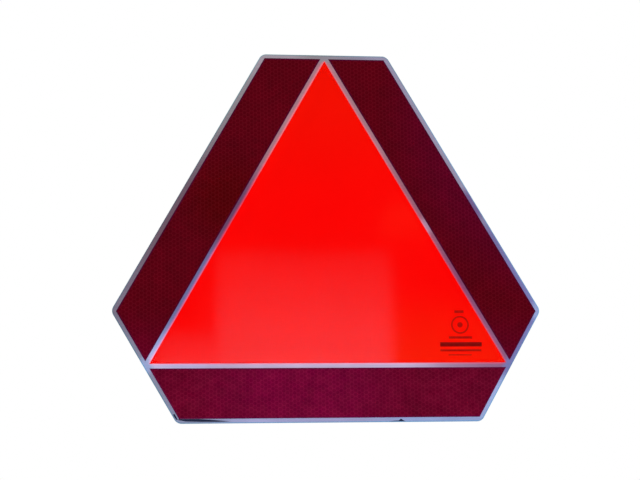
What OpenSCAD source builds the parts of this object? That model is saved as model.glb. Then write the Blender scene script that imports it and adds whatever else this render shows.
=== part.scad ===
// Rear marking sign for slow vehicles: a bare sheet metal plate that carries a
// fluorescent triangle and a border of three retroreflective films, all self-adhesive.
// The sign stands upright with one tip of its triangle up. The origin is the centre of
// the triangle, on the back face of the plate. +X runs to the right as the front is
// seen, +Z runs up, and the front faces -Y.

/* [Backing plate] */
// Thickness of the sheet
sheet_t = 1.5; // [0.8:0.1:3]
// Radius of the six corners of the plate
corner_r = 8; // [1:0.5:20]
// Bare metal beyond the outer long edge of each border film
edge_margin = 4.5; // [1:0.5:12]
// Bare metal beyond the cut ends of the border films
end_margin = 4; // [1:0.5:12]

/* [Fluorescent triangle] */
// Side of the triangle from tip to tip
triangle_side = 350; // [250:5:450]
// Thickness of the fluorescent film with its adhesive
triangle_t = 0.25; // [0.1:0.05:0.6]

/* [Retroreflective border] */
// Width of each border film
border_w = 48.5; // [30:0.5:60]
// Thickness of the border film with its adhesive
border_t = 0.4; // [0.2:0.05:0.8]
// Bare metal between the triangle and the border films
inner_gap = 4.5; // [3:0.5:8]
// How far the border films run past the tips of the triangle
tip_overrun = 2; // [0:0.5:5]

/* [Hidden] */
$fn = 96;

metal_color = "#a5acb6";
fluorescent_color = "#fb1a0a";
border_color = "#5c0512";

// How far each straight line of the front lies from the centre of the triangle
triangle_edge = triangle_side / (2 * sqrt(3));
triangle_tip = 2 * triangle_edge;
film_inner = triangle_edge + inner_gap;
film_outer = film_inner + border_w;
film_end = triangle_tip + tip_overrun;
plate_edge = film_outer + edge_margin;
plate_end = film_end + end_margin;

// Half the length of the bottom side at the height y of the drawing, between its two
// end cuts, which lean 30 degrees and lie the distance end from the centre
function half_length(end, y) = (end + y / 2) / cos(30);

// A point of the drawing turned about the centre
function turned(p, angle) = [
  p.x * cos(angle) - p.y * sin(angle),
  p.x * sin(angle) + p.y * cos(angle)
];

// Angles that turn what is drawn at the bottom side to each side of the triangle
bottom_angle = 0;
right_angle = 120;
left_angle = 240;
side_angles = [bottom_angle, right_angle, left_angle];

// Gives a drawing of the front its thickness and stands it upright. The drawing's y
// becomes height, and its back lies the distance back in front of the plate's back face.
module upright(thickness, back) {
  translate([0, -back, 0])
    rotate([90, 0, 0])
      linear_extrude(thickness)
        children();
}

// An equilateral triangle with its tips cut off and all six corners rounded
module plate_outline() {
  arc_y = corner_r - plate_edge;
  arc_x = half_length(plate_end - corner_r, arc_y);
  arc_centre = [arc_x, arc_y];
  end_tangent = arc_centre + corner_r * [cos(30), -sin(30)];
  bottom_points = [
    [-end_tangent.x, end_tangent.y],
    [-arc_x, -plate_edge],
    [arc_x, -plate_edge],
    end_tangent
  ];
  polygon([
    for (angle = side_angles, p = bottom_points)
      turned(p, angle)
  ]);
  for (angle = side_angles, x = [-arc_x, arc_x])
    translate(turned([x, arc_y], angle))
      circle(r = corner_r);
}

// A strip along one side of the triangle, with its ends cut parallel to the plate's ends
module border_strip(angle) {
  inner_half = half_length(film_end, -film_inner);
  outer_half = half_length(film_end, -film_outer);
  rotate(angle)
    polygon([
      [-inner_half, -film_inner],
      [-outer_half, -film_outer],
      [outer_half, -film_outer],
      [inner_half, -film_inner]
    ]);
}

module border_film(angle) {
  color(border_color)
    upright(border_t, sheet_t)
      border_strip(angle);
}

module backing_plate() {
  color(metal_color)
    upright(sheet_t, 0)
      plate_outline();
}

module fluorescent_triangle() {
  color(fluorescent_color)
    upright(triangle_t, sheet_t)
      polygon([
        [-triangle_side / 2, -triangle_edge],
        [triangle_side / 2, -triangle_edge],
        [0, triangle_tip]
      ]);
}

module border_film_left() {
  border_film(left_angle);
}

module border_film_right() {
  border_film(right_angle);
}

module border_film_bottom() {
  border_film(bottom_angle);
}

backing_plate();
fluorescent_triangle();
border_film_left();
border_film_right();
border_film_bottom();
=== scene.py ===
"""Looks of a rear marking sign for slow vehicles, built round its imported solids."""

import math

import bmesh
import bpy
from bpy.props import FloatProperty, FloatVectorProperty, PointerProperty
from mathutils import Matrix, Vector


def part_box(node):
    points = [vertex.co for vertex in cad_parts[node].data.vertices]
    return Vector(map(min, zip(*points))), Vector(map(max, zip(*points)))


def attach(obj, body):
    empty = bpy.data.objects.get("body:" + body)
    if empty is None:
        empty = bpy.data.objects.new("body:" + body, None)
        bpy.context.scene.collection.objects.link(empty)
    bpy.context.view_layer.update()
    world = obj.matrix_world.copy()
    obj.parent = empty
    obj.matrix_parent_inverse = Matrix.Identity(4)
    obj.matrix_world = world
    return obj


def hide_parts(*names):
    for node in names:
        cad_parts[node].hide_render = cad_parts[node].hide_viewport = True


bl_info = {
    "name": "Slow Vehicle Sign",
    "version": (1, 0, 0),
    "blender": (4, 5, 0),
    "location": "View3D > Sidebar > Sign",
    "description": "Dresses the plate and the films of a rear marking sign",
    "category": "Object",
}

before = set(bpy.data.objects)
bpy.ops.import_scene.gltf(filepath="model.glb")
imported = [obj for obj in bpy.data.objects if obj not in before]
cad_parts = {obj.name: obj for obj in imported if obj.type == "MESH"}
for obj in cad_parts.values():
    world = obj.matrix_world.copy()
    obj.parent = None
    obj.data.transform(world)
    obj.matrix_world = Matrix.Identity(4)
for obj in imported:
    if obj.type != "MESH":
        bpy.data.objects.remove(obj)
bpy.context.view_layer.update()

MM = 0.001
LEAN = math.radians(30)
ROOT = "root"
PLATE = "backing_plate"
TRIANGLE = "fluorescent_triangle"
# Each border film with the angle that turns the bottom strip to its side of the triangle
BORDERS = {
    "border_film_bottom": 0.0,
    "border_film_right": math.radians(120),
    "border_film_left": math.radians(240),
}


def linear(code):
    """Turns an sRGB hex colour into the linear red, green and blue that a shader takes.

    The numbers are those of the sRGB standard.
    """
    parts = [int(code[i : i + 2], 16) / 255 for i in (1, 3, 5)]
    return tuple(c / 12.92 if c <= 0.04045 else ((c + 0.055) / 1.055) ** 2.4 for c in parts)


def opaque(colour):
    """The four numbers that a colour socket takes."""
    return (*colour, 1.0)


def turned(point, angle):
    """A point of the front turned about the centre of the triangle."""
    x, z = point
    return (
        x * math.cos(angle) - z * math.sin(angle),
        x * math.sin(angle) + z * math.cos(angle),
    )


def length_property(name, millimetres, description):
    """A length that a user may change, with its default in millimetres."""
    return FloatProperty(
        name=name, description=description, default=millimetres * MM, min=0.0, unit="LENGTH"
    )


def colour_property(name, code, description):
    """A colour that a user may change, with its default as an sRGB hex colour."""
    return FloatVectorProperty(
        name=name, description=description, default=linear(code), subtype="COLOR", min=0.0, max=1.0
    )


class SignSizes(bpy.types.PropertyGroup):
    """Sizes that are too fine for the solids."""

    front_rim: length_property("Rolled rim", 0.9, "Width that shearing rolls over in front")
    rim_drop: length_property("Rim drop", 0.12, "How far the rolled rim falls from the face")
    back_rim: length_property("Back rim", 0.2, "Width of the broken edge at the back")
    cell_pitch: length_property("Cell pitch", 4.05, "From one honeycomb cell to the next")
    wall_width: length_property("Cell wall", 0.9, "Width of the sealed wall between two cells")
    wall_depth: length_property("Wall depth", 0.08, "How far the walls lie below the cells")
    wall_slope: length_property("Wall slope", 0.25, "Width of the slope from wall to cell")
    wall_lift: FloatProperty(
        name="Wall lift", description="How much lighter a wall is than a cell", default=1.24, min=0.0
    )
    seal_width: length_property("Edge seal", 1.3, "Width of the dark seal round each film")
    cut_edge: length_property("Cut edge", 0.25, "Width of the triangle's pale cut edge")
    spill: length_property("Spill", 2.5, "How far the triangle's red light spills on the metal")
    layer: length_property("Layer", 0.02, "Thickness of printed marks and of dark slivers")


class SignColours(bpy.types.PropertyGroup):
    """Colours of the sign's finishes, with painted reflections, highlights, red light and glow in
    some of them.
    """

    # The bare rim's colours below are painted reflections over the metal's own grey, with painted
    # highlights where it is lightest
    metal_upper: colour_property("Upper metal", "#8b848b", "Bare rim near the top")
    metal_lower: colour_property("Lower metal", "#97a6d2", "Bare rim near the bottom")
    metal_pale: colour_property("Pale metal", "#9b96b5", "Bare rim at the upper right")
    metal_dark_reflection: colour_property("Dark reflection", "#6d5865", "Bare rim at the left")
    metal_grey_reflection: colour_property("Grey reflection", "#888aa1", "Bare rim at the lower left")
    metal_violet: colour_property("Violet metal", "#5a3493", "Bare rim at the lower right")
    metal_lilac: colour_property("Lilac metal", "#a4a4cc", "Bare rim below the lowest film")
    metal_clear: colour_property("Clear metal", "#a2b2e0", "Bare rim where it is lightest")
    metal_bright: colour_property("Bright metal", "#9f949f", "Bare rim at the upper left corner")
    metal_dim: colour_property("Dim metal", "#705b8d", "Bare rim halfway up the right side")
    rim_tint: colour_property("Rim tint", "#c6ffff", "Multiplies the tone of the rolled rim")
    metal_back: colour_property("Back of the plate", "#a4a7aa", "Bare sheet behind the films")
    # The strips' colours below are painted reflections, mostly of red light that the films throw
    # back.
    strip_upper: colour_property("Upper strip", "#a67984", "Bare strips near the top")
    strip_lower: colour_property("Lower strip", "#c5b3d3", "Bare strip under the triangle")
    strip_pale: colour_property("Pale strip", "#a8c0fa", "Bare strips at the lower left")
    strip_red: colour_property("Red strip", "#913e63", "Bare strip on the right")
    strip_dark: colour_property("Dark strip", "#3e1659", "Bare strip on the left")
    strip_wine: colour_property("Wine strip", "#803662", "Bare strips at the lower right")
    cell: colour_property("Cell", "#56000e", "Cells of the two upper films")
    # The lower and the bright cells, and the lower seal, carry a painted reflection that makes the
    # films bluer low down.
    cell_lower: colour_property("Lower cell", "#600020", "Cells near the bottom of the sign")
    cell_bright: colour_property("Bright cell", "#6a002d", "Cells below the triangle")
    cell_violet: colour_property("Violet cell", "#56001f", "Cells at the right rim")
    cell_dark: colour_property("Dark cell", "#500004", "Cells by the triangle's left side")
    haze: colour_property("Haze", "#8e1c3c", "Hazy spots on the film below the triangle")
    seal: colour_property("Edge seal", "#4c0026", "Sealed edge of the retroreflective film")
    seal_lower: colour_property("Lower seal", "#600036", "Sealed edge near the bottom")
    fluorescent: colour_property("Fluorescent film", "#f20000", "Face of the triangle")
    fluorescent_top: colour_property("Upper film", "#e70b00", "The triangle near its upper tip")
    # A painted glow, which stands in for the dye's fluorescence
    glow: colour_property("Glow", "#ff1400", "Light that the fluorescent dye gives back")
    # The cut edge is real, and its pale colour is partly a painted glint.
    cut_edge: colour_property("Cut edge", "#c8505c", "Edge of the fluorescent film")
    # Painted red light, added to the metal's colour by the triangle
    spilt: colour_property("Spilt light", "#9e0000", "Red light on the metal by the triangle")
    spilt_left: colour_property("Spilt left", "#8f1008", "More of it on the triangle's left side")
    ink_bold: colour_property("Bold ink", "#7c0603", "Ink of the heavy printed bar")
    ink_fine: colour_property("Fine ink", "#a80602", "Ink of the thin printed marks")
    # Dark slivers laid on the bare rim at its lower left corner and along its bottom edge
    dark_sliver: colour_property("Dark sliver", "#242a42", "Dark slivers along the lower left corner")


def add_node(tree, kind, settings=None, inputs=None):
    """Adds a node to a tree, makes its settings, and fills its inputs by value or by link."""
    node = tree.nodes.new(kind)
    for name, value in (settings or {}).items():
        setattr(node, name, value)
    for socket, value in (inputs or {}).items():
        if isinstance(value, bpy.types.NodeSocket):
            tree.links.new(value, node.inputs[socket])
        else:
            node.inputs[socket].default_value = value
    return node


def new_material(name):
    """An empty node material, its tree, and the place on the object in metres."""
    material = bpy.data.materials.new(name)
    material.use_nodes = True
    tree = material.node_tree
    tree.nodes.clear()
    return material, tree, add_node(tree, "ShaderNodeTexCoord").outputs["Object"]


def finish_material(material, shader):
    """Leads a shader to the material's surface."""
    add_node(
        material.node_tree, "ShaderNodeOutputMaterial", inputs={"Surface": shader.outputs[0]}
    )
    return material


def layered(tree, colour, layers):
    """Lays layers over a colour, each with the share that it takes, its colour and its way."""
    for share, layer, way in layers:
        mix = add_node(
            tree,
            "ShaderNodeMix",
            {"data_type": "RGBA", "blend_type": way},
            {"Factor": share, "A": colour, "B": layer},
        )
        colour = mix.outputs["Result"]
    return colour


def stepped(tree, value, none, full, most=1.0):
    """Share that rises softly from 0 to most as a value goes from none to full, in millimetres.

    Most may be a link, for a share that is itself uneven over the surface.
    """
    step = add_node(
        tree,
        "ShaderNodeMapRange",
        {"interpolation_type": "SMOOTHSTEP"},
        {"Value": value, "From Min": none * MM, "From Max": full * MM, "To Max": most},
    )
    return step.outputs["Result"]


def soft_patches(tree, place, colours, patches):
    """Layers of round patches, each soft between its inner and its outer radius."""
    layers = []
    for name, x, z, inner, outer, share in patches:
        away = add_node(
            tree,
            "ShaderNodeVectorMath",
            {"operation": "DISTANCE"},
            {0: place, 1: Vector((x, 0, z)) * MM},
        )
        cover = stepped(tree, away.outputs["Value"], none=outer, full=inner, most=share)
        layers.append((cover, opaque(getattr(colours, name)), "MIX"))
    return layers


def patched(tree, place, colours, fade, patches):
    """Colour that fades between two heights in millimetres, with soft patches on it."""
    upper, lower, start, end = fade
    height = add_node(tree, "ShaderNodeSeparateXYZ", inputs={"Vector": place})
    faded = stepped(tree, height.outputs["Z"], none=start, full=end)
    layers = [(faded, opaque(getattr(colours, lower)), "MIX")]
    layers += soft_patches(tree, place, colours, patches)
    return layered(tree, opaque(getattr(colours, upper)), layers)


# Nearly all values of a noise texture lie in the first span, and only its few highest ones
# in the second.
NOISE_SPAN = (0.3, 0.7)
SCRATCH_SPAN = (0.7, 0.76)


def uneven(tree, place, size, low, high, detail=3.0, roughness=0.55, span=NOISE_SPAN):
    """Cloudy factor from low to high, with clouds of a size in millimetres.

    The span holds the two values of the noise that become low and high.
    """
    noise = add_node(
        tree,
        "ShaderNodeTexNoise",
        inputs={
            "Vector": place,
            "Scale": 1 / (size * MM),
            "Detail": detail,
            "Roughness": roughness,
        },
    )
    spread = add_node(
        tree,
        "ShaderNodeMapRange",
        inputs={
            "Value": noise.outputs["Fac"],
            "From Min": span[0],
            "From Max": span[1],
            "To Min": low,
            "To Max": high,
        },
    )
    return spread.outputs["Result"]


def shaded(tree, colour, factors):
    """A colour made lighter or darker by one factor after another."""
    for factor in factors:
        scaled = add_node(
            tree, "ShaderNodeVectorMath", {"operation": "SCALE"}, {0: colour, "Scale": factor}
        )
        colour = scaled.outputs["Vector"]
    return colour


def lines_along(tree, place, turn, thinness, **pattern):
    """Uneven factor drawn out to lines, which are turned in the plane of the plate."""
    drawn_out = add_node(
        tree,
        "ShaderNodeMapping",
        inputs={
            "Vector": place,
            "Rotation": (0.0, math.radians(turn), 0.0),
            "Scale": (thinness, 1.0, 1.0),
        },
    )
    return uneven(tree, drawn_out.outputs["Vector"], **pattern)


def largest(tree, values):
    """The largest of several values."""
    most = values[0]
    for value in values[1:]:
        either = add_node(tree, "ShaderNodeMath", {"operation": "MAXIMUM"}, {0: most, 1: value})
        most = either.outputs["Value"]
    return most


def rolled_sheet(material, tree, place, colour):
    """Finishes bare aluminium that keeps its rolling lines: soft gloss, cloudy, faintly lined."""
    # Rolling lines lie some 0.05 mm apart: they are drawn 1.2 mm apart, to show at all.
    lines = lines_along(tree, place, turn=0, thinness=0.03, size=1.2, low=0.94, high=1.06)
    bump = add_node(
        tree,
        "ShaderNodeBump",
        inputs={"Strength": 0.35, "Distance": 0.05 * MM, "Height": lines},
    )
    clouds = uneven(tree, place, size=45, low=0.92, high=1.08)
    shader = add_node(
        tree,
        "ShaderNodeBsdfPrincipled",
        inputs={
            "Base Color": shaded(tree, colour, (clouds, lines)),
            "Metallic": 1.0,
            "Roughness": uneven(tree, place, size=30, low=0.34, high=0.46),
            "Normal": bump.outputs["Normal"],
        },
    )
    return finish_material(material, shader)


# How the tone of the bare sheet changes over the plate. Its fade, bluer low down, and its
# patches are painted reflections over the metal's own grey, with painted highlights where the
# rim is lightest and a darker painted reflection where it is dim. A fade holds the upper and
# the lower colour, and the heights where it starts and ends. A patch holds its colour, its
# centre in x and z, its inner and outer radius, and the share that it covers. Lengths are
# in millimetres of the front.
RIM_FADE = ("metal_upper", "metal_lower", 105, -55)
RIM_PATCHES = (
    ("metal_pale", 120, 155, 75, 145, 0.7),
    ("metal_dark_reflection", -155, -5, 70, 170, 1.0),
    ("metal_grey_reflection", -135, -90, 40, 125, 0.9),
    ("metal_violet", 215, -35, 80, 105, 0.5),
    ("metal_lilac", -25, -165, 45, 110, 1.0),
    # Painted highlights, where the rim is lightest
    ("metal_clear", 160, -133, 8, 28, 0.9),
    ("metal_clear", 210, -50, 4, 14, 0.8),
    ("metal_clear", -177, -102, 4, 12, 0.7),
    # A painted highlight at the upper left corner
    ("metal_bright", -52, 210, 14, 42, 0.9),
    # A darker painted reflection halfway up the right side
    ("metal_dim", 147, 57, 8, 24, 0.9),
)
# A painted reflection: the rolled rim is lighter on the right, as if it mirrored the white
# surroundings more there.
ROLLED_PATCHES = (("metal_clear", 230, 60, 120, 200, 0.5),)
BACK_PATCHES = (("metal_upper", 60, -40, 20, 150, 0.5),)
# The strips' fade and patches are painted reflections, mostly of red light that the films throw back
# on the bare metal.
STRIP_FADE = ("strip_upper", "strip_lower", 40, -75)
STRIP_PATCHES = (
    ("strip_pale", -144, -40, 42, 80, 0.8),
    ("strip_red", 120, 25, 15, 155, 0.5),
    ("strip_dark", -117, 6, 63, 126, 0.7),
    ("strip_wine", 180, -45, 50, 125, 0.8),
    # A painted glint on the right strip
    ("strip_lower", 98, 35, 3, 12, 0.35),
)
# The strips' tones give way to the rim's between two distances from the centre. The first
# pair is measured square to a side of the triangle, and the second straight to the place.
STRIP_SIDE_FROM, STRIP_SIDE_TO = 120, 135
STRIP_ROUND_FROM, STRIP_ROUND_TO = 198, 204
# How far inside the triangle's edge its spilt light starts to fall off
SPILL_INSIDE = 0.5
# How far inside the edge the left side's stronger light starts, and where it is at its full
LEFT_SPILL_START, LEFT_SPILL_FULL = 3, 1


def reach_to_side(tree, place, node):
    """How far out a place lies towards the side of the triangle that a border film runs along."""
    x, z = turned((0, -1), BORDERS[node])
    reach = add_node(
        tree, "ShaderNodeVectorMath", {"operation": "DOT_PRODUCT"}, {0: place, 1: (x, 0, z)}
    )
    return reach.outputs["Value"]


def mill_finish_front(sizes, colours):
    """Mill-finish aluminium, left bare: cloudy, bluer low down by a painted reflection, and redder
    between the films by painted light.
    """
    material, tree, place = new_material("mill_finish_aluminium_front")
    reaches = {node: reach_to_side(tree, place, node) for node in BORDERS}
    reach = largest(tree, list(reaches.values()))
    # The dye's red light by the cut edge of the triangle is painted onto the metal, which
    # reddens it there, and most of all on the left.
    edge = -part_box(TRIANGLE)[0].z / MM
    spilt = stepped(tree, reach, none=edge + sizes.spill / MM, full=edge - SPILL_INSIDE)
    spilt_left = stepped(
        tree,
        reaches["border_film_left"],
        none=edge - LEFT_SPILL_START,
        full=edge - LEFT_SPILL_FULL,
        most=spilt,
    )
    strip = layered(
        tree,
        patched(tree, place, colours, STRIP_FADE, STRIP_PATCHES),
        [
            (spilt, opaque(colours.spilt), "ADD"),
            (spilt_left, opaque(colours.spilt_left), "ADD"),
        ],
    )
    rim = patched(tree, place, colours, RIM_FADE, RIM_PATCHES)
    away = add_node(tree, "ShaderNodeVectorMath", {"operation": "LENGTH"}, {0: place})
    between_films = stepped(
        tree,
        away.outputs["Value"],
        none=STRIP_ROUND_TO,
        full=STRIP_ROUND_FROM,
        most=stepped(tree, reach, none=STRIP_SIDE_TO, full=STRIP_SIDE_FROM),
    )
    colour = layered(tree, rim, [(between_films, strip, "MIX")])
    return rolled_sheet(material, tree, place, colour)


def mill_finish_back(colours):
    """The back of the same sheet: plain grey, with the scratches of stacking and handling."""
    material, tree, place = new_material("mill_finish_aluminium_back")
    # Scratches are some 0.1 mm wide: they are drawn about 0.5 mm wide. Only the highest
    # values of the noise become scratches.
    scratches = lines_along(
        tree,
        place,
        turn=24,
        thinness=0.02,
        size=2.5,
        low=1.0,
        high=1.18,
        detail=1.0,
        roughness=0.5,
        span=SCRATCH_SPAN,
    )
    dull_patches = soft_patches(tree, place, colours, BACK_PATCHES)
    dulled = layered(tree, opaque(colours.metal_back), dull_patches)
    return rolled_sheet(material, tree, place, shaded(tree, dulled, (scratches,)))


def sheared_edge(colours):
    """Sheared aluminium: the rim and the cut faces, a little cooler and rougher than the sheet."""
    material, tree, place = new_material("sheared_aluminium_edge")
    # The rim takes the bare sheet's painted reflections, and a painted reflection of its own on the
    # right.
    tone = patched(tree, place, colours, RIM_FADE, RIM_PATCHES + ROLLED_PATCHES)
    tone = layered(tree, tone, [(1.0, opaque(colours.rim_tint), "MULTIPLY")])
    # The shear drags burrs some 0.3 mm apart across the edge: they are drawn 1.5 mm apart.
    burrs = uneven(tree, place, size=1.5, low=0.87, high=1.07, detail=2.0)
    bump = add_node(
        tree,
        "ShaderNodeBump",
        inputs={"Strength": 0.4, "Distance": 0.03 * MM, "Height": burrs},
    )
    shader = add_node(
        tree,
        "ShaderNodeBsdfPrincipled",
        inputs={
            "Base Color": shaded(tree, tone, (burrs,)),
            "Metallic": 1.0,
            "Roughness": 0.5,
            "Normal": bump.outputs["Normal"],
        },
    )
    return finish_material(material, shader)


# The films' fades and patches, laid out as the metal's above. The cells and the seals grow
# bluer and lighter low down and below the triangle: a painted reflection.
CELL_FADE = ("cell", "cell_lower", -35, -125)
CELL_PATCHES = (
    ("cell_bright", -30, -125, 30, 120, 1.0),
    ("cell_violet", 285, 165, 160, 240, 0.9),
    ("cell_dark", -100, 62, 10, 60, 0.9),
)
SEAL_FADE = ("seal", "seal_lower", -50, -125)
TRIANGLE_FADE = ("fluorescent_top", "fluorescent", 200, 40)
# The lowest film's haze sets in between these distances from the centre, downwards.
HAZE_FROM, HAZE_TO = 103, 108


def dyed_acrylic(name, colours, fade, patches, lift, gloss, roughness):
    """Red cover film of retroreflective sheeting: deep and dark off its axis, and bluer low down by
    a painted reflection.
    """
    material, tree, place = new_material(name)
    tone = patched(tree, place, colours, fade, patches)
    # The lowest film is hazy in spots some 7 mm wide.
    haze = stepped(
        tree,
        reach_to_side(tree, place, "border_film_bottom"),
        none=HAZE_FROM,
        full=HAZE_TO,
        most=uneven(tree, place, size=7, low=0.0, high=0.2),
    )
    hazy = layered(tree, tone, [(haze, opaque(colours.haze), "MIX")])
    # The films are bonded more or less closely from spot to spot, some 8 mm wide.
    mottle = uneven(tree, place, size=8, low=0.91, high=1.09)
    # The glass beads behind the film are 0.06 mm wide: their speckle is drawn 0.7 mm wide.
    speckle = uneven(tree, place, size=0.7, low=0.9, high=1.1, detail=1.0)
    clouds = uneven(tree, place, size=35, low=0.88 * lift, high=1.12 * lift)
    shader = add_node(
        tree,
        "ShaderNodeBsdfPrincipled",
        inputs={
            "Base Color": shaded(tree, hazy, (mottle, speckle, clouds)),
            "Roughness": roughness,
            "IOR": 1.49,
            "Specular IOR Level": gloss,
        },
    )
    return finish_material(material, shader)


def fluorescent_vinyl(colours):
    """Cast vinyl with fluorescent dye: glossy and even, brighter than a plain red, and with a faint
    painted glow.
    """
    material, tree, place = new_material("fluorescent_cast_vinyl")
    tone = patched(tree, place, colours, TRIANGLE_FADE, ())
    clouds = uneven(tree, place, size=70, low=0.97, high=1.0)
    # Cast film lies in shallow waves about 12 mm long, which soften what it mirrors.
    waves = uneven(tree, place, size=12, low=0.0, high=1.0, detail=1.0)
    bump = add_node(
        tree,
        "ShaderNodeBump",
        inputs={"Strength": 0.1, "Distance": 0.05 * MM, "Height": waves},
    )
    shader = add_node(
        tree,
        "ShaderNodeBsdfPrincipled",
        inputs={
            "Base Color": shaded(tree, tone, (clouds,)),
            "Roughness": 0.06,
            "IOR": 1.5,
            "Specular IOR Level": 0.02,
            "Normal": bump.outputs["Normal"],
            # A faint painted glow stands in for the light that the fluorescent dye gives back.
            "Emission Color": opaque(colours.glow),
            "Emission Strength": 0.02,
        },
    )
    return finish_material(material, shader)


def matt_layer(name, colour, size, roughness=0.6):
    """Ink, dark slivers or a cut edge: matt, with its depth of colour uneven from spot to spot.

    The size is that of a spot, in millimetres.
    """
    material, tree, place = new_material(name)
    spots = uneven(tree, place, size, low=0.8, high=1.2)
    shader = add_node(
        tree,
        "ShaderNodeBsdfPrincipled",
        inputs={
            "Base Color": shaded(tree, colour, (spots,)),
            "Roughness": roughness,
            "Specular IOR Level": 0.05,
        },
    )
    return finish_material(material, shader)


def mesh_from(bm, name):
    """Turns a bmesh into a mesh whose faces look outwards."""
    bmesh.ops.recalc_face_normals(bm, faces=bm.faces)
    mesh = bpy.data.meshes.new(name)
    bm.to_mesh(mesh)
    bm.free()
    return mesh


def new_piece(name, mesh, materials, replaced=None):
    """Adds a piece that rides on the sign's one body, and that may stand for a CAD node."""
    piece = bpy.data.objects.new(name, mesh)
    for material in materials:
        mesh.materials.append(material)
    bpy.context.scene.collection.objects.link(piece)
    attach(piece, ROOT)
    if replaced:
        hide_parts(replaced)
    return piece


# The finishes of the faces, by their places in each piece's list of materials. The first
# finish of a border film is that of its cells, which every face has that isn't marked.
SHEET_FRONT, SHEET_RIM, SHEET_BACK = 0, 1, 2
FILM_FACE, FILM_EDGE = 0, 1
WALL, SEAL = 1, 2

# A honeycomb cell is a hexagon.
CELL_SIDES = 6
# How many steps the arcs of the plate's corners, the ring and the dot are drawn in
CORNER_STEPS = 12
RING_STEPS = 48
DOT_STEPS = 24
# How far a point may lie from a plane and still count as in it, in metres
FLAT_TOLERANCE = 1e-6
CUT_TOLERANCE = 1e-7
# Corners of neighbouring cells become one where they agree to the micron.
MICRONS_PER_METRE = 1e6

# Where the arcs of the bottom side's two corners start, and how far each turns, in degrees
CORNER_STARTS = (210, 270)
CORNER_TURN = 60
# The rolled rim bends at this share of its width and of its drop.
ROLL_SHARE = 0.3
# A cell's top falls by this share of the wall's depth from its middle to its edge.
DOME_SHARE = 0.2


def round_points(centre, radius, steps):
    """Points spaced evenly on a circle."""
    turns = [2 * math.pi * step / steps for step in range(steps)]
    return [(centre[0] + radius * math.cos(t), centre[1] + radius * math.sin(t)) for t in turns]


def join_rings(bm, first, second):
    """Adds the faces between two closed rings of as many points, and returns them."""
    sides = zip(first, first[1:] + first[:1], second[1:] + second[:1], second)
    return [bm.faces.new(side) for side in sides]


def stacked_body(outlines):
    """A closed body through outlines of equal length, from the front to the back.

    Each row holds an outline in x and z, its y, and the material of the faces that end there.
    """
    bm = bmesh.new()
    rings = [[bm.verts.new((x, y, z)) for x, z in outline] for outline, y, _ in outlines]
    bm.faces.new(rings[0]).material_index = outlines[0][2]
    for front, back, (_, _, material) in zip(rings, rings[1:], outlines[1:]):
        for side in join_rings(bm, front, back):
            side.material_index = material
    bm.faces.new(list(reversed(rings[-1]))).material_index = outlines[-1][2]
    return bm


def half_length(end, z):
    """Half the length of the bottom side at height z, between end cuts that lean 30 degrees."""
    return (end + z / 2) / math.cos(LEAN)


def plate_outline(inset):
    """Outline of the plate, moved in by inset, with its six corners as arcs."""
    low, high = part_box(PLATE)
    edge, end = -low.z, high.z
    sharp_x = (edge + end) / (2 * math.cos(LEAN))
    radius = (sharp_x - high.x) / (1 / math.cos(LEAN) - 1)
    arc_z = radius - edge
    arc_x = half_length(end - radius, arc_z)
    points = []
    for angle in BORDERS.values():
        for centre_x, start in zip((-arc_x, arc_x), CORNER_STARTS):
            for step in range(CORNER_STEPS + 1):
                turn = math.radians(start + CORNER_TURN * step / CORNER_STEPS)
                point = (
                    centre_x + (radius - inset) * math.cos(turn),
                    arc_z + (radius - inset) * math.sin(turn),
                )
                points.append(turned(point, angle))
    return points


def build_plate(sizes):
    """The plate: flat faces, a rim that shearing rolled over in front, a broken edge behind."""
    low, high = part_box(PLATE)
    bend = plate_outline(sizes.front_rim * ROLL_SHARE)
    bm = stacked_body(
        [
            (plate_outline(sizes.front_rim), low.y, SHEET_FRONT),
            (bend, low.y + sizes.rim_drop * ROLL_SHARE, SHEET_RIM),
            (plate_outline(0), low.y + sizes.rim_drop, SHEET_RIM),
            (plate_outline(0), high.y - sizes.back_rim, SHEET_RIM),
            (plate_outline(sizes.back_rim), high.y, SHEET_RIM),
        ]
    )
    for face in bm.faces:
        if all(abs(vertex.co.y - high.y) < FLAT_TOLERANCE for vertex in face.verts):
            face.material_index = SHEET_BACK
    return mesh_from(bm, "plate_with_rolled_rim")


def triangle_outline(inset):
    """Outline of the fluorescent triangle, moved in by inset."""
    low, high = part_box(TRIANGLE)
    shrink = 1 - inset / -low.z
    return [(x * shrink, z * shrink) for x, z in ((low.x, low.z), (high.x, low.z), (0, high.z))]


def build_triangle(sizes):
    """The fluorescent film: a flat face that slopes down to its cut edge."""
    low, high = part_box(TRIANGLE)
    bm = stacked_body(
        [
            (triangle_outline(sizes.cut_edge), low.y, FILM_FACE),
            (triangle_outline(0), (low.y + high.y) / 2, FILM_EDGE),
            (triangle_outline(0), high.y, FILM_EDGE),
        ]
    )
    return mesh_from(bm, "cut_fluorescent_film")


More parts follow.
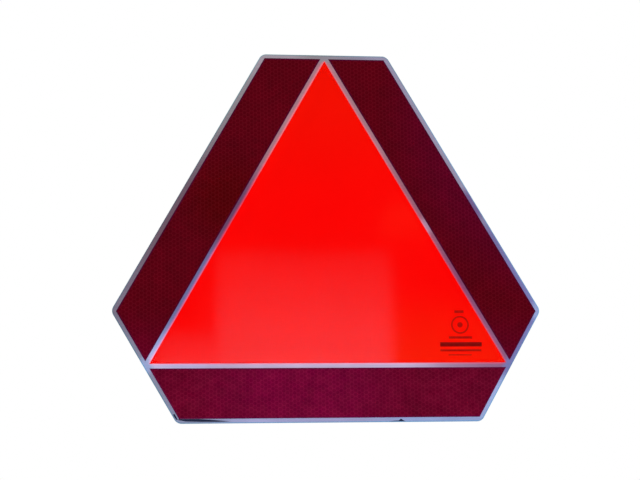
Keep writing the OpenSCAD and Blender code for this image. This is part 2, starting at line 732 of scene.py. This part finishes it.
def add_cell(bm, shared, centre, sizes, face_y):
    """Adds one cell: half of each wall round it, the slopes, and its slightly domed top."""
    apothem = sizes.cell_pitch / 2
    inner = apothem - sizes.wall_width / 2
    wall_y = face_y + sizes.wall_depth
    rings = []
    for reach, y in (
        (apothem, wall_y),
        (inner, wall_y),
        (inner - sizes.wall_slope, face_y + sizes.wall_depth * DOME_SHARE),
    ):
        ring = []
        for x, z in round_points(centre, reach / math.cos(LEAN), CELL_SIDES):
            key = tuple(round(size * MICRONS_PER_METRE) for size in (x, z, y))
            if key not in shared:
                shared[key] = bm.verts.new((x, y, z))
            ring.append(shared[key])
        rings.append(ring)
    wall_outside, wall_inside, top = rings
    middle = bm.verts.new((centre[0], face_y, centre[1]))
    for wall in join_rings(bm, wall_outside, wall_inside):
        wall.material_index = WALL
    for slope in join_rings(bm, wall_inside, top):
        slope.smooth = True
    for first, second in zip(top, top[1:] + top[:1]):
        bm.faces.new((first, second, middle)).smooth = True


def cut_along(bm, distance, outward, drop):
    """Cuts along a plane that stands on the front, and may drop what lies outside it."""
    bmesh.ops.bisect_plane(
        bm,
        geom=bm.verts[:] + bm.edges[:] + bm.faces[:],
        dist=CUT_TOLERANCE,
        plane_co=outward * distance,
        plane_no=outward,
        clear_outer=drop,
    )


def build_border(node, angle, sizes):
    """One border film: honeycomb cells cut to the strip, with cut faces down to the plate."""
    low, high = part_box(node)
    strip_low, strip_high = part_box("border_film_bottom")
    inner, outer = -strip_high.z, -strip_low.z
    end = strip_high.x * math.cos(LEAN) + inner / 2
    pitch = sizes.cell_pitch
    column = pitch * math.cos(LEAN)
    spare = 2 * pitch
    bm = bmesh.new()
    shared = {}
    for i in range(math.floor(low.x / column) - 1, math.ceil(high.x / column) + 2):
        shift = pitch / 2 if i % 2 else 0
        for j in range(math.floor(low.z / pitch) - 1, math.ceil(high.z / pitch) + 2):
            centre = (i * column, j * pitch + shift)
            x, z = turned(centre, -angle)
            if -outer - spare < z < spare - inner and abs(x) < half_length(end, z) + spare:
                add_cell(bm, shared, centre, sizes, low.y)
    end_x, end_z = math.cos(LEAN), -math.sin(LEAN)
    for distance, (x, z) in (
        (-inner, (0, 1)),
        (outer, (0, -1)),
        (end, (end_x, end_z)),
        (end, (-end_x, end_z)),
    ):
        x, z = turned((x, z), angle)
        outward = Vector((x, 0, z))
        cut_along(bm, distance, outward, drop=True)
        cut_along(bm, distance - sizes.seal_width, outward, drop=False)
        for face in bm.faces:
            if face.calc_center_median().dot(outward) > distance - sizes.seal_width:
                face.material_index = SEAL
    rim = [edge for edge in bm.edges if edge.is_boundary]
    drawn = bmesh.ops.extrude_edge_only(bm, edges=rim)["geom"]
    for item in drawn:
        if isinstance(item, bmesh.types.BMVert):
            item.co.y = high.y
        elif isinstance(item, bmesh.types.BMFace):
            item.material_index = SEAL
    foot = [edge for edge in bm.edges if edge.is_boundary]
    for face in bmesh.ops.contextual_create(bm, geom=foot)["faces"]:
        face.material_index = WALL
    return mesh_from(bm, node + "_cells")


def add_flat(bm, points, front_y, back_y):
    """Adds a flat closed body to a bmesh, with its outline in millimetres of the front."""
    front = [bm.verts.new((x * MM, front_y, z * MM)) for x, z in points]
    back = [bm.verts.new((x * MM, back_y, z * MM)) for x, z in points]
    bm.faces.new(front)
    bm.faces.new(list(reversed(back)))
    join_rings(bm, front, back)


def rectangle(left, right, bottom, top):
    """Corners of a rectangle, in order round it."""
    return [(left, bottom), (right, bottom), (right, top), (left, top)]


def bar(centre_x, centre_z, width, height):
    """Corners of a rectangle round a centre."""
    half_width, half_height = width / 2, height / 2
    return rectangle(
        centre_x - half_width,
        centre_x + half_width,
        centre_z - half_height,
        centre_z + half_height,
    )


def add_ring(bm, centre, outer, stroke, front_y, back_y):
    """Adds a flat ring to a bmesh, with its sizes in millimetres of the front."""
    rings = []
    for radius, y in (
        (outer, front_y),
        (outer, back_y),
        (outer - stroke, back_y),
        (outer - stroke, front_y),
    ):
        points = round_points(centre, radius, RING_STEPS)
        rings.append([bm.verts.new((x * MM, y, z * MM)) for x, z in points])
    for first, second in zip(rings, rings[1:] + rings[:1]):
        join_rings(bm, first, second)


# Centre, width and height of the printed bars, in millimetres of the front
FINE_BARS = (
    (129.3, -50.7, 9.0, 2.6),
    (130.0, -76.2, 23.0, 2.2),
    (130.1, -88.9, 41.0, 1.9),
    (129.1, -93.4, 23.0, 0.9),
)
BOLD_BAR = (130.3, -83.0, 41.5, 4.2)
RING_CENTRE = (129.9, -63.7)
RING_RADIUS = 8.8
RING_STROKE = 1.4
DOT_RADIUS = 2.6

# Outlines of the dark slivers on the bare rim, in millimetres of the front
DARK_SLIVERS = {
    "long_streak": (
        (-147.0, -154.2), (-147.4, -155.1), (-140, -156.4), (-125, -156.9), (-110, -157.0),
        (-97, -156.6), (-108, -155.7), (-118, -154.8), (-128, -154.2),
    ),
    "corner_streak": (
        (-151.0, -149.0), (-152.4, -149.8), (-151.1, -152.2), (-149.5, -154.6),
        (-147.6, -155.0), (-148.1, -154.1),
    ),
    "lone_blot": (
        (56.5, -157.9), (63, -157.2), (66.5, -157.1), (68.5, -155.2), (70.5, -156.6),
        (73, -157.9),
    ),
}


class SIGN_OT_plate(bpy.types.Operator):
    """Build the bare metal plate"""

    bl_idname = "sign.plate"
    bl_label = "Backing plate"

    def execute(self, context):
        sizes, colours = context.scene.sign_sizes, context.scene.sign_colours
        finishes = (
            mill_finish_front(sizes, colours),
            sheared_edge(colours),
            mill_finish_back(colours),
        )
        new_piece("plate_sheet", build_plate(sizes), finishes, PLATE)
        return {"FINISHED"}


class SIGN_OT_border(bpy.types.Operator):
    """Build the three honeycomb films of the border"""

    bl_idname = "sign.border"
    bl_label = "Border films"

    def execute(self, context):
        sizes, colours = context.scene.sign_sizes, context.scene.sign_colours
        cells = dyed_acrylic(
            "dyed_acrylic_cells",
            colours,
            CELL_FADE,
            CELL_PATCHES,
            lift=1.0,
            gloss=0.01,
            roughness=0.3,
        )
        walls = dyed_acrylic(
            "sealed_acrylic_walls",
            colours,
            CELL_FADE,
            CELL_PATCHES,
            lift=sizes.wall_lift,
            gloss=0.04,
            roughness=0.4,
        )
        seal = dyed_acrylic(
            "sealed_acrylic_edge", colours, SEAL_FADE, (), lift=1.0, gloss=0.03, roughness=0.4
        )
        finishes = (cells, walls, seal)
        for node, angle in BORDERS.items():
            mesh = build_border(node, angle, sizes)
            new_piece(node + "_sheeting", mesh, finishes, node)
        return {"FINISHED"}


class SIGN_OT_triangle(bpy.types.Operator):
    """Build the fluorescent triangle"""

    bl_idname = "sign.triangle"
    bl_label = "Fluorescent triangle"

    def execute(self, context):
        sizes, colours = context.scene.sign_sizes, context.scene.sign_colours
        finishes = (
            fluorescent_vinyl(colours),
            # The real cut edge, its pale colour partly a painted glint
            matt_layer("cut_fluorescent_edge", colours.cut_edge, size=9, roughness=0.5),
        )
        mesh = build_triangle(sizes)
        new_piece("triangle_film", mesh, finishes, TRIANGLE)
        return {"FINISHED"}


class SIGN_OT_marks(bpy.types.Operator):
    """Build the plain printed marks and the dark slivers"""

    bl_idname = "sign.marks"
    bl_label = "Printed marks and dark slivers"

    def execute(self, context):
        sizes, colours = context.scene.sign_sizes, context.scene.sign_colours
        film_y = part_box(TRIANGLE)[0].y
        ink_y = film_y - sizes.layer
        bm = bmesh.new()
        for row in FINE_BARS:
            add_flat(bm, bar(*row), ink_y, film_y)
        add_ring(bm, RING_CENTRE, RING_RADIUS, RING_STROKE, ink_y, film_y)
        add_flat(bm, round_points(RING_CENTRE, DOT_RADIUS, DOT_STEPS), ink_y, film_y)
        ink = matt_layer("thin_screen_ink", colours.ink_fine, size=3)
        new_piece("fine_print", mesh_from(bm, "fine_print"), (ink,))
        bm = bmesh.new()
        add_flat(bm, bar(*BOLD_BAR), ink_y, film_y)
        ink = matt_layer("dense_screen_ink", colours.ink_bold, size=3)
        new_piece("bold_print", mesh_from(bm, "bold_print"), (ink,))
        # Dark slivers laid on the bare rim
        plate_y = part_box(PLATE)[0].y
        bm = bmesh.new()
        for outline in DARK_SLIVERS.values():
            add_flat(bm, outline, plate_y - sizes.layer, plate_y)
        sliver_finish = matt_layer("matt_dark_sliver", colours.dark_sliver, size=6, roughness=0.9)
        new_piece("dark_slivers", mesh_from(bm, "dark_slivers"), (sliver_finish,))
        return {"FINISHED"}


class SIGN_OT_stage(bpy.types.Operator):
    """Set up the floor, the lamps, the white surroundings and the camera"""

    bl_idname = "sign.stage"
    bl_label = "Stage"

    def execute(self, context):
        context.scene.view_settings.view_transform = "Standard"
        add_camera(context.scene)
        add_floor()
        light_world(context.scene)
        add_lamps()
        add_mirrored_cards()
        return {"FINISHED"}


# The photograph's viewpoint, left of the sign and a little below it, in metres
CAMERA_PLACE = Vector((-0.2420, -1.7282, -0.2830))
CAMERA_TARGET = Vector((-0.0076, -0.0017, 0.0204))
CAMERA_ROLL = math.radians(1.04)
FOCAL_PX = 1800.0
IMAGE_WIDTH_PX = 640.0
SENSOR_WIDTH_MM = 36.0

# The floor's height and half its width, in metres
FLOOR_Z = -0.6
FLOOR_HALF = 40.0
FLOOR_COLOUR = "#f4f4f4"
SOFT_LIGHT_COLOUR = "#f6f8ff"
SOFT_LIGHT_STRENGTH = 0.8
WHITE_COLOUR = "#ffffff"
# Place, width and power of each lamp, in metres and watts
LAMPS = {
    "key_lamp": ((-1.5, -2.0, 1.6), 1.2, 18.0),
    "back_lamp": ((1.4, 2.0, 1.2), 1.2, 16.0),
}


def add_camera(scene):
    """A long lens turned a little about its axis, as the photograph was taken."""
    data = bpy.data.cameras.new("camera")
    data.sensor_width = SENSOR_WIDTH_MM
    data.lens = FOCAL_PX / IMAGE_WIDTH_PX * SENSOR_WIDTH_MM
    camera = bpy.data.objects.new("camera", data)
    look = (CAMERA_TARGET - CAMERA_PLACE).to_track_quat("-Z", "Y").to_matrix().to_4x4()
    roll = Matrix.Rotation(-CAMERA_ROLL, 4, "Z")
    camera.matrix_world = Matrix.Translation(CAMERA_PLACE) @ look @ roll
    scene.collection.objects.link(camera)
    scene.camera = camera


def staged(name, corners, material):
    """A flat sheet of the stage through four corners."""
    bm = bmesh.new()
    bm.faces.new([bm.verts.new(corner) for corner in corners])
    mesh = bpy.data.meshes.new(name)
    bm.to_mesh(mesh)
    bm.free()
    mesh.materials.append(material)
    sheet = bpy.data.objects.new(name, mesh)
    bpy.context.scene.collection.objects.link(sheet)
    return sheet


def add_floor():
    """A pale floor well below the sign, because the camera looks slightly up at it."""
    material, tree, _ = new_material("matt_white_floor")
    shader = add_node(
        tree,
        "ShaderNodeBsdfPrincipled",
        inputs={
            "Base Color": opaque(linear(FLOOR_COLOUR)),
            "Roughness": 0.9,
            "Specular IOR Level": 0.1,
        },
    )
    finish_material(material, shader)
    outline = rectangle(-FLOOR_HALF, FLOOR_HALF, -FLOOR_HALF, FLOOR_HALF)
    staged("floor", [(x, y, FLOOR_Z) for x, y in outline], material)


def light_world(scene):
    """White surroundings for the camera, gloss and glass, and a soft even light for the rest."""
    world = bpy.data.worlds.new("white_studio")
    scene.world = world
    world.use_nodes = True
    tree = world.node_tree
    tree.nodes.clear()
    rays = add_node(tree, "ShaderNodeLightPath").outputs
    kinds = ("Is Camera Ray", "Is Glossy Ray", "Is Transmission Ray")
    seen = largest(tree, [rays[kind] for kind in kinds])
    soft = add_node(
        tree,
        "ShaderNodeBackground",
        inputs={
            "Color": opaque(linear(SOFT_LIGHT_COLOUR)),
            "Strength": SOFT_LIGHT_STRENGTH,
        },
    )
    white = add_node(
        tree,
        "ShaderNodeBackground",
        inputs={"Color": opaque(linear(WHITE_COLOUR)), "Strength": 1.0},
    )
    mix = add_node(
        tree,
        "ShaderNodeMixShader",
        inputs={0: seen, 1: soft.outputs["Background"], 2: white.outputs["Background"]},
    )
    add_node(tree, "ShaderNodeOutputWorld", inputs={"Surface": mix.outputs["Shader"]})


def add_lamps():
    """A soft key lamp from the upper left, and a weaker one for the back of the plate."""
    for name, (place, width, watts) in LAMPS.items():
        data = bpy.data.lights.new(name, "AREA")
        data.size = width
        data.energy = watts
        lamp = bpy.data.objects.new(name, data)
        lamp.location = place
        lamp.rotation_euler = (-lamp.location).to_track_quat("-Z", "Y").to_euler()
        bpy.context.scene.collection.objects.link(lamp)


# What the glossy triangle mirrors: left, right, top and bottom on the film in millimetres,
# the strength at the top and at the bottom, and the colour
MIRRORED_CARDS = {
    "window_card": (-108, 62, 7, -130, 6.3, 29.0, "#fff1ff"),
    "low_window_card": (-176, -108, -71, -130, 5.5, 28.0, "#fff1ff"),
    "warm_wall_card": (62, 176, -38, -130, 2.0, 17.3, "#ffc040"),
    "far_lamp_card": (54, 105, 57, 25, 4.2, 4.2, "#ffd080"),
}
# How far in front of the sign the cards stand, in metres
CARD_DISTANCE = 2.2


def mirrored(x, z):
    """The point on the cards' plane that the camera sees in the front at x and z."""
    share = CARD_DISTANCE / -CAMERA_PLACE.y
    return (
        x + (x - CAMERA_PLACE.x) * share,
        -CARD_DISTANCE,
        z + (z - CAMERA_PLACE.z) * share,
    )


def card_light(name, top_strength, bottom_strength, code):
    """Light of a card, stronger or weaker from top to bottom, that lets all else through."""
    material, tree, _ = new_material(name)
    across = add_node(tree, "ShaderNodeTexCoord").outputs["Generated"]
    height = add_node(tree, "ShaderNodeSeparateXYZ", inputs={"Vector": across})
    strength = add_node(
        tree,
        "ShaderNodeMapRange",
        inputs={
            "Value": height.outputs["Z"],
            "To Min": bottom_strength,
            "To Max": top_strength,
        },
    )
    glow = add_node(
        tree,
        "ShaderNodeEmission",
        inputs={"Color": opaque(linear(code)), "Strength": strength.outputs["Result"]},
    )
    clear = add_node(tree, "ShaderNodeBsdfTransparent")
    both = add_node(
        tree, "ShaderNodeAddShader", inputs={0: glow.outputs[0], 1: clear.outputs[0]}
    )
    return finish_material(material, both)


def add_mirrored_cards():
    """Bright cards behind the camera, which light nothing but the face of the triangle."""
    lit = bpy.data.collections.new("lit_by_cards")
    lit.objects.link(bpy.data.objects["triangle_film"])
    for name, (left, right, top, bottom, upper, lower, code) in MIRRORED_CARDS.items():
        material = card_light(name + "_light", upper, lower, code)
        outline = rectangle(left, right, bottom, top)
        card = staged(name, [mirrored(x * MM, z * MM) for x, z in outline], material)
        card.visible_camera = False
        card.light_linking.receiver_collection = lit


class SIGN_PT_panel(bpy.types.Panel):
    """Lists the pieces of the sign in the sidebar"""

    bl_idname = "SIGN_PT_panel"
    bl_label = "Slow Vehicle Sign"
    bl_space_type = "VIEW_3D"
    bl_region_type = "UI"
    bl_category = "Sign"

    def draw(self, context):
        for operator in OPERATORS:
            self.layout.operator(operator.bl_idname)


OPERATORS = (SIGN_OT_plate, SIGN_OT_border, SIGN_OT_triangle, SIGN_OT_marks, SIGN_OT_stage)
CLASSES = (SignSizes, SignColours, *OPERATORS, SIGN_PT_panel)


def register():
    for item in CLASSES:
        bpy.utils.register_class(item)
    bpy.types.Scene.sign_sizes = PointerProperty(type=SignSizes)
    bpy.types.Scene.sign_colours = PointerProperty(type=SignColours)


def unregister():
    del bpy.types.Scene.sign_colours
    del bpy.types.Scene.sign_sizes
    for item in reversed(CLASSES):
        bpy.utils.unregister_class(item)


def main():
    register()
    bpy.ops.sign.plate()
    bpy.ops.sign.border()
    bpy.ops.sign.triangle()
    bpy.ops.sign.marks()
    bpy.ops.sign.stage()


if __name__ == "__main__":
    main()
